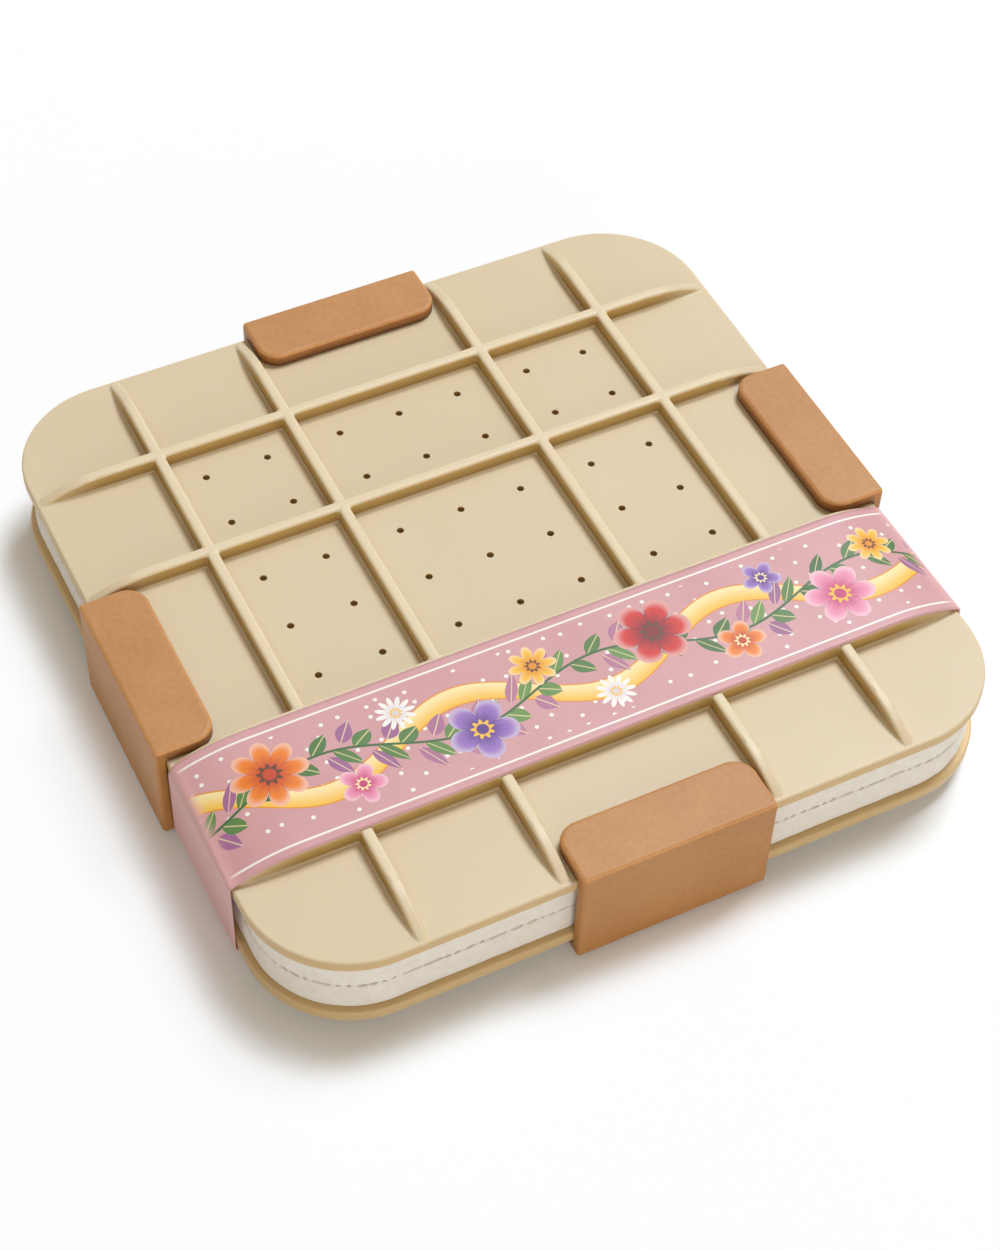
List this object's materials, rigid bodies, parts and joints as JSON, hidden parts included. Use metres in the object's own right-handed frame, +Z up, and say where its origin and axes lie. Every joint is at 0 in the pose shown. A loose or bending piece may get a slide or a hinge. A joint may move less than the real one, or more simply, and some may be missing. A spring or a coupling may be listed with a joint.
{
  "type": "flower press",
  "caption": "Flat square flower press: ribbed, vented plates squeeze felt pads and cloth liners, held by slide-on edge clips and a card sleeve.",
  "frame": {"origin": "under the middle of the press, on the surface that it lies on", "axes": "+Z up through the stack, +X to the right and -Y to the front, where the sleeve is"},
  "size_m": [0.1564, 0.1564, 0.0264],
  "materials": {
    "plate_plastic": "satin moulded, cream",
    "pad_felt": "wool felt, off-white",
    "liner_cloth": "plain cotton, off-white",
    "clip_plastic": "satin moulded, caramel",
    "sleeve_card": "printed card, dusty pink, slight gloss"
  },
  "bodies": {
    "base": {"bottom_plate": "plate_plastic", "lower_pad": "pad_felt"},
    "liners": {"lower_liner": "liner_cloth", "upper_liner": "liner_cloth"},
    "top": {"top_plate": "plate_plastic", "upper_pad": "pad_felt"},
    "front_clip": {"clip_front": "clip_plastic"},
    "right_clip": {"clip_right": "clip_plastic"},
    "back_clip": {"clip_back": "clip_plastic"},
    "left_clip": {"clip_left": "clip_plastic"},
    "sleeve": {"belly_band": "sleeve_card"}
  },
  "joints": [
    {"name": "press_squeeze", "type": "slide", "parent": "base", "child": "top", "axis": [0, 0, -1], "range_m": [0, 0.002], "stiffness_N_per_m": 3000, "springref_m": -0.002, "deforming": ["upper_pad", "lower_pad"]},
    {"name": "liners_follow", "type": "slide", "parent": "base", "child": "liners", "axis": [0, 0, -1], "range_m": [0, 0.001]},
    {"name": "clip_front_slide", "type": "slide", "parent": "base", "child": "front_clip", "axis": [0, -1, 0], "range_m": [0, 0.018]},
    {"name": "clip_right_slide", "type": "slide", "parent": "base", "child": "right_clip", "axis": [1, 0, 0], "range_m": [0, 0.018]},
    {"name": "clip_back_slide", "type": "slide", "parent": "base", "child": "back_clip", "axis": [0, 1, 0], "range_m": [0, 0.018]},
    {"name": "clip_left_slide", "type": "slide", "parent": "base", "child": "left_clip", "axis": [-1, 0, 0], "range_m": [0, 0.018]},
    {"name": "sleeve_slide", "type": "slide", "parent": "base", "child": "sleeve", "axis": [0, -1, 0], "range_m": [0, 0.062]}
  ],
  "couplings": [
    {"joint": "liners_follow", "follows": "press_squeeze", "ratio": 0.5}
  ]
}
